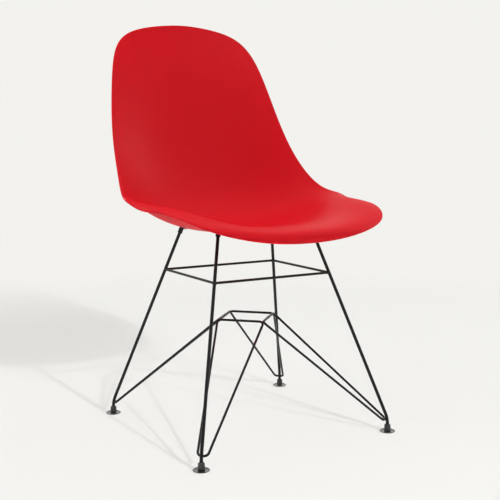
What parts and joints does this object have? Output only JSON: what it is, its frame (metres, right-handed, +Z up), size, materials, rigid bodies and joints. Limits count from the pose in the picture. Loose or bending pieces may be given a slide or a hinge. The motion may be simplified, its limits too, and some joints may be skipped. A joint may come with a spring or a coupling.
{
  "type": "shell chair",
  "caption": "Dining side chair: a one-piece moulded plastic seat and back on a base of straight legs, stretchers and bent wire bracing loops, standing on tilting disc glides.",
  "frame": {"origin": "on the floor, under the middle of the chair's outside box", "axes": "+Z up; the sitter looks along -Y, so the front lip is towards -Y and the back towards +Y; the sitter's left is +X"},
  "size_m": [0.498, 0.497, 0.8282],
  "materials": {
    "shell_plastic": "satin moulded polypropylene, red",
    "black_wire": "black powder-coated steel wire",
    "black_steel": "black powder-coated steel plate",
    "pad_rubber": "black rubber",
    "socket_plastic": "satin dark grey nylon",
    "disc_plastic": "glossy dark nylon",
    "zinc_steel": "zinc-plated steel"
  },
  "bodies": {
    "chair": {"seat_shell": "shell_plastic", "leg_front_right": "black_wire", "bracing_loop_front_right": "black_wire", "mount_bracket_front_right": "black_steel", "shock_pad_front_right": "pad_rubber", "glide_socket_front_right": "socket_plastic", "leg_front_left": "black_wire", "bracing_loop_front_left": "black_wire", "mount_bracket_front_left": "black_steel", "shock_pad_front_left": "pad_rubber", "glide_socket_front_left": "socket_plastic", "leg_back_right": "black_wire", "bracing_loop_back_right": "black_wire", "mount_bracket_back_right": "black_steel", "shock_pad_back_right": "pad_rubber", "glide_socket_back_right": "socket_plastic", "leg_back_left": "black_wire", "bracing_loop_back_left": "black_wire", "mount_bracket_back_left": "black_steel", "shock_pad_back_left": "pad_rubber", "glide_socket_back_left": "socket_plastic", "stretcher_front": "black_wire", "stretcher_back": "black_wire", "stretcher_right": "black_wire", "stretcher_left": "black_wire", "threaded_inserts": "zinc_steel", "mounting_washers": "zinc_steel", "mounting_screws": "zinc_steel"},
    "glide_front_right": {"glide_disc_front_right": "disc_plastic"},
    "glide_front_left": {"glide_disc_front_left": "disc_plastic"},
    "glide_back_right": {"glide_disc_back_right": "disc_plastic"},
    "glide_back_left": {"glide_disc_back_left": "disc_plastic"}
  },
  "joints": [
    {"name": "glide_tilt_front_right", "type": "hinge", "parent": "chair", "child": "glide_front_right", "pos_m": [-0.211, -0.22644, 0.0053], "axis": [-0.7071, 0.7071, 0], "range_deg": [-7, 7]},
    {"name": "glide_tilt_front_left", "type": "hinge", "parent": "chair", "child": "glide_front_left", "pos_m": [0.211, -0.22644, 0.0053], "axis": [0.7071, 0.7071, 0], "range_deg": [-7, 7]},
    {"name": "glide_tilt_back_right", "type": "hinge", "parent": "chair", "child": "glide_back_right", "pos_m": [-0.211, 0.16956, 0.0053], "axis": [0.7071, 0.7071, 0], "range_deg": [-7, 7]},
    {"name": "glide_tilt_back_left", "type": "hinge", "parent": "chair", "child": "glide_back_left", "pos_m": [0.211, 0.16956, 0.0053], "axis": [-0.7071, 0.7071, 0], "range_deg": [-7, 7]}
  ]
}
